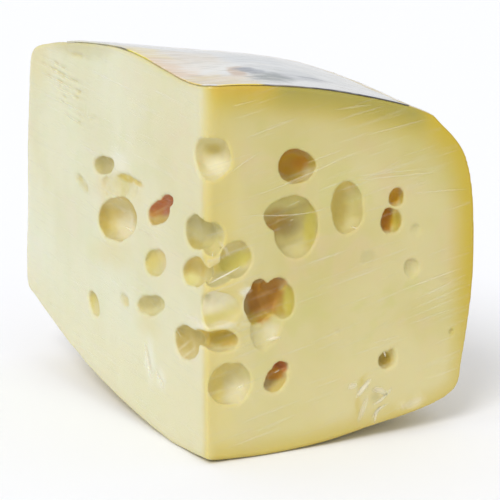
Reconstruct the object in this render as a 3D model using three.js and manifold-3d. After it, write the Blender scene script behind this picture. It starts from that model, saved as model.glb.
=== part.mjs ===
// A wedge of eyed cheese, cut from a domed wheel by two upright planes that meet at a right angle.
// It stands on the flattened middle of the wheel's sole, with the cut corner upright. A round paper
// label lies on the crown and is cut off with the cheese at both faces.
//
// Units are millimetres, +Z is up. While it is shaped, the cut corner stands on the Z axis, the short
// cut face lies in y = 0 along +X and the long cut face lies in x = 0 along +Y. At the end the group is
// moved so that its origin is the centre of the base of its bounding box.

import * as THREE from 'three';
import { mergeVertices } from 'three/addons/utils/BufferGeometryUtils.js';
import Module from 'manifold-3d';

const wasm = await Module();
wasm.setup();

// ---- driving dimensions -------------------------------------------------------------------------

const wheelRadius = 155;              // rim of the whole wheel
const wheelCentre = [-36, 21];        // the knife missed the wheel's middle by this much, [x, y]
const cornerHeight = 140;             // wheel height at the cut corner
const soleLevel = -2.5;               // the sole is pressed flat at this height

// Outlines of the two cut faces as [distance from the corner, height], over the crown and back below.
// Both name the same twelve places, so that any section between them is a blend of the two.
const shortFaceOutline = [
  [0, cornerHeight],                  // top of the cut corner
  [21.5, 139],                        // neck of the crown
  [58.5, 133.5],                      // crown
  [96.5, 122.5],                      // shoulder, inner end
  [100, 119.5],                       // shoulder
  [112.5, 105],                       // shoulder, outer end
  [117, 60],                          // flank, the widest place
  [112.5, 24.5],                      // foot, outer end
  [109, 12],                          // foot, inner end
  [70, 2.5],                          // sole, outer part
  [31.5, -1.5],                       // sole, inner part
  [0, 0],                             // bottom of the cut corner
];
const longFaceOutline = [
  [0, cornerHeight],
  [15.5, 139.5],
  [73.5, 145],
  [150.5, 137.5],
  [161, 134],
  [164.5, 129],
  [170.5, 66.5],
  [172, 30],
  [164.5, 26.5],
  [108.5, 9],
  [35, -1.5],
  [0, 0],
];
const crownStations = 5;              // places 0 to 4 of an outline belong to the crown
const soleStation = 9;                // places 9 and 10 belong to the sole

// The crown between the two faces swells and dips in waves: 1, 2 and 3 half turns from face to face.
const crownWaves = [1, 1.7, -1.4];
const soleSag = 14;                   // how far the sole hangs in the middle before it is pressed flat

const cornerRadiusTop = 7;            // the cut corner is worn rounder at its top
const cornerRadiusMiddle = 3;
const cornerRadiusBottom = 1.2;
const cornerWearHeight = 108;         // above this the corner turns round

const labelRadius = 123;
const labelCentre = [-36, 9];
const labelThickness = 0.5;
const labelGap = 0.3;                 // air between the crown and the paper

// Eyes: each is a bubble, or a few run together, opened by a cut. `out` is the distance from the corner
// along the face, `up` the height, `wide` and `tall` the opening, `deep` how far it goes in.
const shortFaceEyes = [
  { out: 38.3, up: 107.2, wide: 15.6, tall: 13.2, deep: 11 },
  { out: 35.3, up: 89, wide: 23, tall: 15.6, deep: 12 },        // a large eye, with a lobe below it
  { out: 38.5, up: 82.5, wide: 17, tall: 16.6, deep: 12 },
  { out: 59.7, up: 90.2, wide: 13.6, tall: 20, deep: 7 },
  { out: 81.5, up: 91.8, wide: 6.6, tall: 7.4, deep: 6 },
  { out: 79, up: 82.9, wide: 9.4, tall: 9.4, deep: 8 },
  { out: 90.1, up: 78.1, wide: 4.6, tall: 4.4, deep: 1.5 },
  { out: 68.6, up: 70, wide: 4.8, tall: 4, deep: 1.2 },
  { out: 88.5, up: 63.8, wide: 6.4, tall: 6.4, deep: 2.5 },
  { out: 24, up: 57.1, wide: 17.5, tall: 14, deep: 13 },        // the deepest eye: two lobes above,
  { out: 21.8, up: 62, wide: 10.5, tall: 10, deep: 10 },
  { out: 29.5, up: 62.4, wide: 9.5, tall: 10, deep: 10 },
  { out: 32, up: 57, wide: 10.5, tall: 13.5, deep: 6 },         // a shallow one beside
  { out: 21.5, up: 47, wide: 8, tall: 14, deep: 4 },            // and a tail below
  { out: 31.8, up: 31.7, wide: 6.5, tall: 6, deep: 6 },
  { out: 28, up: 27.6, wide: 8.5, tall: 8, deep: 8 },
  { out: 77.9, up: 28.4, wide: 8, tall: 9, deep: 5 },
  { out: 9.5, up: 73.5, wide: 16.6, tall: 17, deep: 9 },
  { out: 9.8, up: 28, wide: 17.6, tall: 15.8, deep: 9 },
  { out: 5.8, up: 44.8, wide: 14.6, tall: 8.6, deep: 5 },
];
const longFaceEyes = [
  { out: 89.5, up: 98, wide: 20, tall: 12, deep: 7 },
  { out: 70, up: 91, wide: 34, tall: 15, deep: 4 },
  { out: 78.3, up: 76.8, wide: 37, tall: 16.6, deep: 12 },
  { out: 41.2, up: 86, wide: 15, tall: 8.4, deep: 9 },          // a slanting pair
  { out: 33.5, up: 92, wide: 9, tall: 5.4, deep: 6 },
  { out: 43.5, up: 66.5, wide: 19.6, tall: 10.2, deep: 4 },
  { out: 115.7, up: 83.3, wide: 15, tall: 11.8, deep: 2 },
  { out: 100.9, up: 36.5, wide: 9, tall: 11, deep: 3 },
  { out: 47, up: 45.1, wide: 27, tall: 14, deep: 3.5 },
  { out: 8.5, up: 86.5, wide: 17.6, tall: 15, deep: 7 },        // one lobe of the heart on the corner
  { out: 10.1, up: 69.8, wide: 17.6, tall: 12, deep: 6 },
  { out: 12, up: 41.3, wide: 27, tall: 14, deep: 7 },
];
// Eyes that open over the cut corner: `centre` is [x, y, z] and `radii` are the half sizes.
const cornerEyes = [
  { centre: [2.2, 1, 113.5], radii: [8.6, 8.6, 8.2] },
  { centre: [3, 1, 83.6], radii: [4.6, 5, 6] },
  { centre: [2.5, 1, 58.2], radii: [11.2, 9, 6.8] },
];
const eyeSink = 0.25;                 // an eye's centre lies this part of its depth behind the face
const eyeDetails = [[19, 3], [6, 2], [0, 1]];   // [wider than, fineness of the ball]

// ---- materials ----------------------------------------------------------------------------------

function matte(colour, roughness) {
  return new THREE.MeshStandardMaterial({ color: colour, roughness, metalness: 0 });
}

const cheeseBody = matte(0xdcd08f, 0.45);
const labelPaper = matte(0xd5d8da, 0.6);

// ---- solids from geometry -----------------------------------------------------------------------

function toSolid(geometry) {
  const bare = geometry.clone();
  bare.deleteAttribute('normal');
  bare.deleteAttribute('uv');
  const merged = mergeVertices(bare);
  const vertProperties = new Float32Array(merged.attributes.position.array);
  const triVerts = new Uint32Array(merged.index.array);
  return new wasm.Manifold(new wasm.Mesh({ numProp: 3, vertProperties, triVerts }));
}

function toGeometry(solid) {
  const mesh = solid.getMesh();
  const geometry = new THREE.BufferGeometry();
  geometry.setAttribute('position', new THREE.BufferAttribute(mesh.vertProperties, 3));
  geometry.setIndex(new THREE.BufferAttribute(mesh.triVerts, 1));
  geometry.computeVertexNormals();
  return geometry;
}

function indexed(points, triangles) {
  const geometry = new THREE.BufferGeometry();
  geometry.setAttribute('position', new THREE.Float32BufferAttribute(points.flat(), 3));
  geometry.setIndex(triangles.flat());
  return geometry;
}

// Joins closed rings of equally many points into a closed loft. Rings run anticlockwise from above.
function loft(rings) {
  const count = rings[0].length;
  const last = (rings.length - 1) * count;
  const triangles = [];
  for (let level = 0; level + 1 < rings.length; level += 1) {
    for (let i = 0; i < count; i += 1) {
      const a = level * count + i;
      const b = level * count + ((i + 1) % count);
      triangles.push([a, b, b + count], [a, b + count, a + count]);
    }
  }
  for (let i = 1; i + 1 < count; i += 1) {
    triangles.push([0, i + 1, i], [last, last + i, last + i + 1]);
  }
  return indexed(rings.flat(), triangles);
}

// ---- the wheel's form ---------------------------------------------------------------------------

const quarterTurn = Math.PI / 2;
const sectionStep = THREE.MathUtils.degToRad(6);
const sectionOverlap = THREE.MathUtils.degToRad(3);   // how far the wheel runs on past each cut
const pointsPerSpan = 5;
const hubOut = 50;                    // the fan that closes a section meets here
const hubUp = 70;
const clearOfWheel = 200;             // the block's far sides stand clear of the wheel
const cutLevels = [soleLevel, 10, 55, cornerWearHeight, 118, 127, 135, 160];
const cornerSteps = 5;
const labelReach = 60;                // height of the cylinder that trims the label
const discSides = 96;

// Distance from the cut corner to the wheel's rim in direction `angle`, 0 along the short face.
function rimDistance(angle) {
  const [cx, cy] = wheelCentre;
  const along = cx * Math.cos(angle) + cy * Math.sin(angle);
  return along + Math.sqrt(wheelRadius ** 2 - cx ** 2 - cy ** 2 + along ** 2);
}

function widest(outline) {
  return Math.max(...outline.map(([out]) => out));
}

// The wheel's outline in the upright half plane at `angle`: the two face outlines are blended, spread
// to the rim's distance, and given the crown's waves and the hanging sole.
function sectionOutline(angle) {
  const turn = THREE.MathUtils.clamp(angle / quarterTurn, 0, 1);
  const blend = THREE.MathUtils.smoothstep(turn, 0, 1);
  const shortReach = widest(shortFaceOutline);
  const longReach = widest(longFaceOutline);
  const trim = THREE.MathUtils.lerp(
    shortReach / rimDistance(0), longReach / rimDistance(quarterTurn), blend);
  const reach = rimDistance(angle) * trim;
  const fullTurn = Math.PI * turn;
  const wave = crownWaves.reduce((sum, size, i) => sum + size * Math.sin((i + 1) * fullTurn), 0);
  const sag = soleSag * Math.sin(fullTurn);
  const stations = shortFaceOutline.map(([shortOut, shortUp], i) => {
    const [longOut, longUp] = longFaceOutline[i];
    const share = THREE.MathUtils.lerp(shortOut / shortReach, longOut / longReach, blend);
    let up = THREE.MathUtils.lerp(shortUp, longUp, blend);
    if (i < crownStations) up += wave * share;
    if (i >= soleStation) up -= sag * Math.sin(Math.PI * share);
    return new THREE.Vector3(share * reach, 0, up);
  });
  return new THREE.CatmullRomCurve3(stations).getPoints(pointsPerSpan * (stations.length - 1));
}

// Closes the end of the sector with triangles from a hub to each edge of the section.
function closeWithFan(points, triangles, row, angle, facesForward) {
  const hub = points.length;
  points.push([hubOut * Math.cos(angle), hubOut * Math.sin(angle), hubUp]);
  row.forEach((from, i) => {
    const to = row[(i + 1) % row.length];
    triangles.push(facesForward ? [hub, from, to] : [hub, to, from]);
  });
}

// A sector of the wheel round the Z axis, a little wider than the wedge. All its sections share their
// first and last point on the axis.
function wheelSector() {
  const topPoint = 0;
  const bottomPoint = 1;
  const points = [[0, 0, cornerHeight], [0, 0, 0]];
  const triangles = [];
  const sectionCount = Math.round((quarterTurn + 2 * sectionOverlap) / sectionStep) + 1;
  const angles = Array.from({ length: sectionCount }, (_, i) => i * sectionStep - sectionOverlap);
  const rows = angles.map((angle) => {
    const middle = sectionOutline(angle).slice(1, -1).map((point) => {
      points.push([point.x * Math.cos(angle), point.x * Math.sin(angle), point.z]);
      return points.length - 1;
    });
    return [topPoint, ...middle, bottomPoint];
  });
  for (let r = 0; r + 1 < rows.length; r += 1) {
    const near = rows[r];
    const far = rows[r + 1];
    for (let i = 0; i + 1 < near.length; i += 1) {
      if (near[i] !== topPoint) triangles.push([near[i], near[i + 1], far[i]]);
      if (near[i + 1] !== bottomPoint) triangles.push([near[i + 1], far[i + 1], far[i]]);
    }
  }
  closeWithFan(points, triangles, rows[0], angles[0], false);
  closeWithFan(points, triangles, rows.at(-1), angles.at(-1), true);
  return indexed(points, triangles);
}

// ---- the cuts -----------------------------------------------------------------------------------

function cornerRadius(height) {
  const lower = THREE.MathUtils.smoothstep(height, 0, cornerWearHeight);
  const upper = THREE.MathUtils.smoothstep(height, cornerWearHeight, cornerHeight);
  return cornerRadiusBottom
    + (cornerRadiusMiddle - cornerRadiusBottom) * lower
    + (cornerRadiusTop - cornerRadiusMiddle) * upper;
}

// Everything the two cuts and the board leave: a block in the +X +Y quarter whose upright edge at the
// Z axis is rounded.
function cutBlock() {
  const rings = cutLevels.map((height) => {
    const radius = cornerRadius(height);
    const ring = [[clearOfWheel, 0], [clearOfWheel, clearOfWheel], [0, clearOfWheel]];
    for (let i = 0; i <= cornerSteps; i += 1) {
      const turn = (i / cornerSteps) * quarterTurn;
      ring.push([radius * (1 - Math.cos(turn)), radius * (1 - Math.sin(turn))]);
    }
    return ring.map(([x, y]) => [x, y, height]);
  });
  return loft(rings);
}

function ball(centre, radii) {
  const [, detail] = eyeDetails.find(([size]) => 2 * Math.max(...radii) > size);
  return toSolid(new THREE.IcosahedronGeometry(1, detail).scale(...radii).translate(...centre));
}

// The bubble behind one opening in a face, as its centre and half sizes along, into and up the face.
function faceBubble({ out, up, wide, tall, deep }) {
  const spread = 1 / Math.sqrt(1 - eyeSink ** 2);
  const depth = deep / (1 + eyeSink);
  return { centre: [out, eyeSink * depth, up], radii: [0.5 * wide * spread, depth, 0.5 * tall * spread] };
}

function swapXY([x, y, z]) {
  return [y, x, z];
}

function allEyes() {
  const short = shortFaceEyes.map(faceBubble);
  const long = longFaceEyes.map(faceBubble)
    .map(({ centre, radii }) => ({ centre: swapXY(centre), radii: swapXY(radii) }));
  return [...short, ...long, ...cornerEyes]
    .map(({ centre, radii }) => ball(centre, radii))
    .reduce((joined, bubble) => joined.add(bubble));
}

// ---- the two pieces -----------------------------------------------------------------------------

const sector = toSolid(wheelSector());
const block = toSolid(cutBlock());

function cheese() {
  return sector.intersect(block).subtract(allEyes());
}

// The paper is the layer between two copies of the wheel lifted by the gap and by the gap and the
// paper's thickness, inside the label's circle and the two cuts.
function label() {
  const disc = toSolid(new THREE.CylinderGeometry(labelRadius, labelRadius, labelReach, discSides)
    .rotateX(quarterTurn)
    .translate(...labelCentre, cornerHeight));
  const upper = sector.translate([0, 0, labelGap + labelThickness]);
  const lower = sector.translate([0, 0, labelGap]);
  return upper.subtract(lower).intersect(disc).intersect(block);
}

const wedge = new THREE.Group();

function addPiece(name, solid, material) {
  const mesh = new THREE.Mesh(toGeometry(solid), material);
  mesh.name = name;
  wedge.add(mesh);
}

addPiece('cheese', cheese(), cheeseBody);
addPiece('label', label(), labelPaper);

const bounds = new THREE.Box3().setFromObject(wedge);
const middle = bounds.getCenter(new THREE.Vector3());
wedge.position.set(-middle.x, -middle.y, -bounds.min.z);
wedge.updateMatrixWorld(true);

export default wedge;
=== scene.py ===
import math

import bpy
import numpy as np
from mathutils import Matrix, Vector


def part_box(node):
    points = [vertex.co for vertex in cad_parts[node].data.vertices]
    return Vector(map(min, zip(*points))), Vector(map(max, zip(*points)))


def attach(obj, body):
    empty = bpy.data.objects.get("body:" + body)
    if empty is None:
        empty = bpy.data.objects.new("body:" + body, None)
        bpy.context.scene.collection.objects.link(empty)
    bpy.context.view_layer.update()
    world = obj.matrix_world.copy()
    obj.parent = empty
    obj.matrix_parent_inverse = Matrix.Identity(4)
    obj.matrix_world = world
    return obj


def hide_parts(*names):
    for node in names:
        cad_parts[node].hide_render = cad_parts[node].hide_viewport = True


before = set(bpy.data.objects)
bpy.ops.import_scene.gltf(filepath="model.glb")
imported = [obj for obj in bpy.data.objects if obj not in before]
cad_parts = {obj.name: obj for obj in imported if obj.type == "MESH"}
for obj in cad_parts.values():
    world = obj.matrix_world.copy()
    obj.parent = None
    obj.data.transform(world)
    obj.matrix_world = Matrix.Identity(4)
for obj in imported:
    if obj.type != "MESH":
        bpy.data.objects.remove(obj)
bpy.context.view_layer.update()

# Everything below is worked out in millimetres in the wedge's own corner frame: the cut corner stands on the
# z axis, the short cut face lies in y = 0 along +x and the long cut face in x = 0 along +y.
cheeseLow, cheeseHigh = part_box("cheese")
soleLevel = -2.5    # the pressed sole, where the CAD solid's lowest point is
cornerPlace = np.array([cheeseLow.x, cheeseLow.y, cheeseLow.z - 0.001 * soleLevel])


def toMetres(points):
    return cornerPlace + 0.001 * np.asarray(points, float)


def addObject(name, data):
    made = bpy.data.objects.new(name, data)
    bpy.context.scene.collection.objects.link(made)
    return made


cameraView = {
    "place": (-365.45, -721.25, 265.2),    # mm from the foot of the cut corner
    "heading": -28.0,                      # degrees from +y
    "down": 12.90,
    "roll": 0.07,
    "lens": 163.70,
    "sensor": 36.0,
}


def makeCamera(view):
    camera = addObject("camera", bpy.data.cameras.new("camera"))
    camera.data.lens = view["lens"]
    camera.data.sensor_width = view["sensor"]
    camera.data.clip_end = 20
    turn = (Matrix.Rotation(math.radians(view["heading"]), 4, "Z")
            @ Matrix.Rotation(math.radians(90 - view["down"]), 4, "X")
            @ Matrix.Rotation(math.radians(view["roll"]), 4, "Z"))
    camera.matrix_world = Matrix.Translation(toMetres(view["place"])) @ turn
    bpy.context.scene.camera = camera


makeCamera(cameraView)
print("camera set")

# The wheel that the wedge was cut from. Each cut face's outline is given as (distance from the corner,
# height), over the crown and back along the sole.
wheel = {
    "radius": 155.0,
    "centre": (-36.0, 21.0),
    "shortFace": [(0, 140), (21.5, 139), (58.5, 133.5), (96.5, 122.5), (100, 119.5), (112.5, 105),
                  (117, 60), (112.5, 24.5), (109, 12), (70, 2.5), (31.5, -1.5), (0, 0)],
    "longFace": [(0, 140), (15.5, 139.5), (73.5, 145), (150.5, 137.5), (161, 134), (164.5, 129),
                 (170.5, 66.5), (172, 30), (164.5, 26.5), (108.5, 9), (35, -1.5), (0, 0)],
    "crownStations": 5,
    "soleStation": 9,
    "crownWaves": (1.0, 1.7, -1.4),
    "soleSag": 14.0,
    "cornerRadii": (1.2, 3.0, 7.0),    # worn radius of the cut corner at its foot, middle and top
    "cornerWearHeight": 108.0,
    "cornerHeight": 140.0,
}


def smoothstep(value, low, high):
    t = np.clip((value - low) / (high - low), 0, 1)
    return t * t * (3 - 2 * t)


def lerp(a, b, t):
    return a + (b - a) * t


def turned(a, b, degrees):
    # the pair a, b measured along and across a direction turned by these degrees
    c, s = math.cos(math.radians(degrees)), math.sin(math.radians(degrees))
    return a * c + b * s, b * c - a * s


def rimDistance(angle):
    cx, cy = wheel["centre"]
    along = cx * math.cos(angle) + cy * math.sin(angle)
    return along + math.sqrt(wheel["radius"] ** 2 - cx ** 2 - cy ** 2 + along ** 2)


def smoothCurve(stations, perSpan):
    # centripetal Catmull-Rom through all stations, with the ends carried straight on
    p = np.vstack([2 * stations[0] - stations[1], stations, 2 * stations[-1] - stations[-2]])
    gaps = np.sqrt(np.linalg.norm(np.diff(p, axis=0), axis=1))
    points = []
    for i in range(1, len(p) - 2):
        p0, p1, p2, p3 = p[i - 1:i + 3]
        g0, g1, g2 = gaps[i - 1:i + 2]
        m1 = g1 * ((p1 - p0) / g0 - (p2 - p0) / (g0 + g1) + (p2 - p1) / g1)
        m2 = g1 * ((p2 - p1) / g1 - (p3 - p1) / (g1 + g2) + (p3 - p2) / g2)
        t = np.arange(perSpan)[:, None] / perSpan
        gap = p2 - p1
        points.append(p1 + m1 * t + (3 * gap - 2 * m1 - m2) * t ** 2 + (m1 + m2 - 2 * gap) * t ** 3)
    return np.vstack(points + [p[-2:-1]])


def sectionOutline(angle, perSpan=6):
    # the wheel's outline in the upright half plane at this angle: a blend of the two cut faces
    shortSide = np.array(wheel["shortFace"], float)
    longSide = np.array(wheel["longFace"], float)
    turn = min(max(angle / (math.pi / 2), 0), 1)
    blend = turn * turn * (3 - 2 * turn)
    shortReach, longReach = shortSide[:, 0].max(), longSide[:, 0].max()
    shares = shortReach / rimDistance(0), longReach / rimDistance(math.pi / 2)
    reach = rimDistance(angle) * lerp(*shares, blend)
    share = lerp(shortSide[:, 0] / shortReach, longSide[:, 0] / longReach, blend)
    up = lerp(shortSide[:, 1], longSide[:, 1], blend)
    wave = sum(size * math.sin((i + 1) * math.pi * turn) for i, size in enumerate(wheel["crownWaves"]))
    sag = wheel["soleSag"] * math.sin(math.pi * turn)
    crown, sole = wheel["crownStations"], wheel["soleStation"]
    up[:crown] += wave * share[:crown]
    up[sole:] -= sag * np.sin(np.pi * share[sole:])
    return smoothCurve(np.stack([share * reach, up], 1), perSpan)


def polygonDistance(px, py, outline):
    # signed distance to a closed outline, negative inside
    tiny = 1e-12
    nearest = np.full(px.shape, np.inf)
    inside = np.zeros(px.shape, bool)
    for (ax, ay), (bx, by) in zip(outline, np.roll(outline, -1, axis=0)):
        ex, ey = bx - ax, by - ay
        wx, wy = px - ax, py - ay
        t = np.clip((wx * ex + wy * ey) / (ex * ex + ey * ey + tiny), 0, 1)
        nearest = np.minimum(nearest, (wx - ex * t) ** 2 + (wy - ey * t) ** 2)
        crosses = (ay > py) != (by > py)
        inside ^= crosses & (wx < (py - ay) * ex / (ey if ey else tiny))
    return np.where(inside, -1, 1) * np.sqrt(nearest)


# A table of the wheel's signed distance over angle, distance from the corner and height.
distances = {
    "firstAngle": -6.0, "angleStep": 3.0, "angles": 35,
    "low": (-9.0, -9.0), "step": 1.5, "size": (128, 108),
    "behind": 40.0,    # mm that the outline is carried on behind the corner, which the cuts then take away
}


def makeTable(settings):
    step = settings["step"]
    out, up = [low + step * np.arange(size) for low, size in zip(settings["low"], settings["size"])]
    px, py = np.meshgrid(out, up, indexing="ij")
    behind = settings["behind"]
    layers = []
    for i in range(settings["angles"]):
        outline = sectionOutline(math.radians(settings["firstAngle"] + i * settings["angleStep"]))
        closed = np.vstack([[-behind, outline[0, 1]], outline, [-behind, outline[-1, 1]]])
        layers.append(polygonDistance(px, py, closed))
    return np.array(layers, np.float32)


wheelTable = makeTable(distances)


def interpolate(values, coordinates):
    # straight-line interpolation in an array at fractional coordinates
    base = [np.clip(np.floor(c).astype(np.int32), 0, n - 2) for c, n in zip(coordinates, values.shape)]
    part = [np.clip(c - b, 0, 1) for c, b in zip(coordinates, base)]
    total = 0
    for corner in range(2 ** len(base)):
        index, weight = [], 1
        for axis, (b, w) in enumerate(zip(base, part)):
            bit = (corner >> axis) & 1
            index.append(b + bit)
            weight = weight * (w if bit else 1 - w)
        total = total + values[tuple(index)] * weight
    return total


def wheelDistance(p):
    # signed distance to the whole wheel's surface, negative inside
    angle = np.degrees(np.arctan2(p[..., 1], p[..., 0]))
    angle = np.where(angle < -90, angle + 360, angle)
    out = np.hypot(p[..., 0], p[..., 1])
    return interpolate(wheelTable, ((angle - distances["firstAngle"]) / distances["angleStep"],
                                    (out - distances["low"][0]) / distances["step"],
                                    (p[..., 2] - distances["low"][1]) / distances["step"]))


def cornerRadius(height):
    foot, middle, top = wheel["cornerRadii"]
    wear = wheel["cornerWearHeight"]
    return (foot + (middle - foot) * smoothstep(height, 0, wear)
            + (top - middle) * smoothstep(height, wear, wheel["cornerHeight"]))


def cutDistance(p):
    # distance outside the two cuts, with the worn corner
    x, y = p[..., 0], p[..., 1]
    r = cornerRadius(p[..., 2])
    flat = -np.minimum(x, y)
    worn = np.hypot(r - x, r - y) - r
    return np.where((x < r) & (y < r), worn, flat)


def onLongSide(p, bands):
    # 1 on the long cut face and 0 elsewhere, passing over by the corner
    return smoothstep(-p[:, 0], *bands[0]) * smoothstep(p[:, 1], *bands[1])


def smoothMax(a, b, width):
    h = np.clip(0.5 + 0.5 * (a - b) / width, 0, 1)
    return b + (a - b) * h + width * h * (1 - h)


def wedgeDistance(p, edge, sole):
    cut = smoothMax(wheelDistance(p), cutDistance(p), edge)
    return smoothMax(cut, sole - p[..., 2], edge)


def crownHeights(x, y):
    # height of the crown over plan points
    angles = np.radians(np.arange(-3, 94, 1.5))
    reach = np.arange(171.0)
    heights = []
    for angle in angles:
        outline = sectionOutline(angle)
        top = outline[:int(np.argmax(outline[:, 0])) + 1]
        heights.append(np.interp(reach, top[:, 0], top[:, 1]))
    angle = np.arctan2(y, x)
    return interpolate(np.array(heights), ((angle - angles[0]) / (angles[1] - angles[0]), np.hypot(x, y)))


print("wheel table made")


def uneven(p, size, length, waves, seed):
    # a smooth field that goes about size up and down, its bumps near one length in mm apart
    rng = np.random.default_rng(seed)
    total = 0
    for _ in range(waves):
        direction = rng.normal(size=p.shape[-1])
        direction *= 2 * math.pi / (np.linalg.norm(direction) * length * rng.uniform(0.75, 1.5))
        total = total + np.sin(p @ direction.astype(p.dtype) + rng.uniform(0, 2 * math.pi))
    return size * (total / waves ** 0.5 / 1.4)


def gridAxes(low, high, step):
    counts = [int(math.ceil((b - a) / step)) + 1 for a, b in zip(low, high)]
    return [a + step * np.arange(count, dtype=np.float32) for a, count in zip(low, counts)]


def fillGrid(axes, field, slab=12):
    # a field's values on a grid, a few slabs at a time to keep memory small
    values = np.empty([len(a) for a in axes], np.float32)
    for i in range(0, len(axes[0]), slab):
        p = np.stack(np.meshgrid(axes[0][i:i + slab], axes[1], axes[2], indexing="ij"), -1)
        values[i:i + slab] = field(p)
    return values


def surfaceNet(values, axes):
    # one point in each cell that the surface crosses, and one face across each crossed grid edge
    inside = values < 0
    corners = np.array([(i, j, k) for i in (0, 1) for j in (0, 1) for k in (0, 1)])
    cellGrid = np.array(values.shape) - 1
    count = sum(inside[tuple(slice(a, a + n) for a, n in zip(corner, cellGrid))].astype(np.int8)
                for corner in corners)
    active = (count > 0) & (count < 8)
    number = np.full(active.shape, -1, np.int32)
    number[active] = np.arange(active.sum())
    cells = np.argwhere(active)
    cornerValues = [values[tuple((cells + c).T)] for c in corners]
    place, hits = np.zeros((len(cells), 3)), np.zeros(len(cells))
    for a in range(8):
        for b in range(a + 1, 8):
            along = corners[b] - corners[a]
            if np.abs(along).sum() != 1:
                continue
            va, vb = cornerValues[a], cornerValues[b]
            crossed = (va < 0) != (vb < 0)
            t = np.where(crossed, va / np.where(crossed, va - vb, 1), 0)
            place += crossed[:, None] * (corners[a] + t[:, None] * along)
            hits += crossed
    place = cells + place / hits[:, None]
    points = np.stack([axes[d][0] + (axes[d][1] - axes[d][0]) * place[:, d] for d in range(3)], 1)
    faces = []
    for d in range(3):
        e, g = (d + 1) % 3, (d + 2) % 3
        here = np.moveaxis(inside, (d, e, g), (0, 1, 2))
        cellNumber = np.moveaxis(number, (d, e, g), (0, 1, 2))
        change = here[:-1, 1:-1, 1:-1] != here[1:, 1:-1, 1:-1]
        i, j, k = np.nonzero(change)
        quad = np.stack([cellNumber[i, j, k], cellNumber[i, j + 1, k],
                         cellNumber[i, j + 1, k + 1], cellNumber[i, j, k + 1]], 1)
        leaves = here[i, j + 1, k + 1]
        faces.append(np.where(leaves[:, None], quad, quad[:, ::-1]))
    return points, np.vstack(faces)


def addPiece(name, points, faces):
    # points in mm in the corner frame become a mesh in metres in the part's frame
    mesh = bpy.data.meshes.new(name)
    mesh.vertices.add(len(points))
    mesh.vertices.foreach_set("co", toMetres(points).ravel())
    mesh.loops.add(faces.size)
    mesh.loops.foreach_set("vertex_index", faces.ravel())
    mesh.polygons.add(len(faces))
    mesh.polygons.foreach_set("loop_start", np.arange(0, faces.size, faces.shape[1]))
    mesh.update(calc_edges=True)
    return addObject(name, mesh)


def settle(piece):
    # the modifiers' result becomes the piece's own plain mesh
    result = bpy.data.meshes.new_from_object(piece.evaluated_get(bpy.context.evaluated_depsgraph_get()))
    piece.modifiers.clear()
    piece.data = result
    result.polygons.foreach_set("use_smooth", np.ones(len(result.polygons), bool))
    return piece


def thinTo(piece, triangles):
    now = sum(len(f.vertices) - 2 for f in piece.data.polygons)
    if now > triangles:
        thin = piece.modifiers.new("thin", "DECIMATE")
        thin.ratio = triangles / now
    return settle(piece)


def placesOf(piece):
    # the piece's points in mm in the corner frame
    co = np.empty(len(piece.data.vertices) * 3)
    piece.data.vertices.foreach_get("co", co)
    return (co.reshape(-1, 3) - cornerPlace) * 1000


def giveNumber(piece, name, values):
    attribute = piece.data.attributes.new(name, "FLOAT", "POINT")
    attribute.data.foreach_set("value", np.asarray(values, np.float32))


def giveColour(piece, name, colours):
    rgba = np.concatenate([colours, np.ones((len(colours), 1))], 1).astype(np.float32)
    attribute = piece.data.attributes.new(name, "FLOAT_COLOR", "POINT")
    attribute.data.foreach_set("color", rgba.ravel())


def colour(text):
    # sRGB hex to linear
    parts = [int(text[i:i + 2], 16) / 255 for i in (1, 3, 5)]
    return tuple(c / 12.92 if c <= 0.04045 else ((c + 0.055) / 1.055) ** 2.4 for c in parts) + (1.0,)


def ink(text):
    return np.array(colour(text)[:3])


def layOver(colours, over, share):
    return colours * (1 - share[:, None]) + share[:, None] * over


def blot(u, v, places, soft, seed, ragged):
    # a soft-edged uneven blot, 1 inside the unit circle
    edge = np.hypot(u, v) + sum(uneven(places, *wave, seed + i) for i, wave in enumerate(ragged))
    return 1 - smoothstep(edge, 1 - soft, 1 + soft)


def addNode(tree, kind, inputs=None, **settings):
    # one node with its settings; an input is a value or another node's socket
    node = tree.nodes.new(kind)
    for name, value in settings.items():
        setattr(node, name, value)
    for key, value in (inputs or {}).items():
        if isinstance(value, bpy.types.NodeSocket):
            tree.links.new(value, node.inputs[key])
        else:
            node.inputs[key].default_value = value
    return node


def newMaterial(name):
    material = bpy.data.materials.new(name)
    material.use_nodes = True
    material.node_tree.nodes.clear()
    return material, material.node_tree


def layTones(tree, base, rows):
    # a colour with others laid over it, each where its noise goes from the first value to the second
    for noise, first, second, most, tone in rows:
        share = addNode(tree, "ShaderNodeMapRange", {"Value": noise, "From Min": first, "From Max": second,
                                                     "To Max": most}, interpolation_type="SMOOTHSTEP")
        base = addNode(tree, "ShaderNodeMix", {0: share.outputs[0], 6: base, 7: tone},
                       data_type="RGBA").outputs[2]
    return base


def coat(piece, material):
    piece.data.materials.clear()
    piece.data.materials.append(material)


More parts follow.
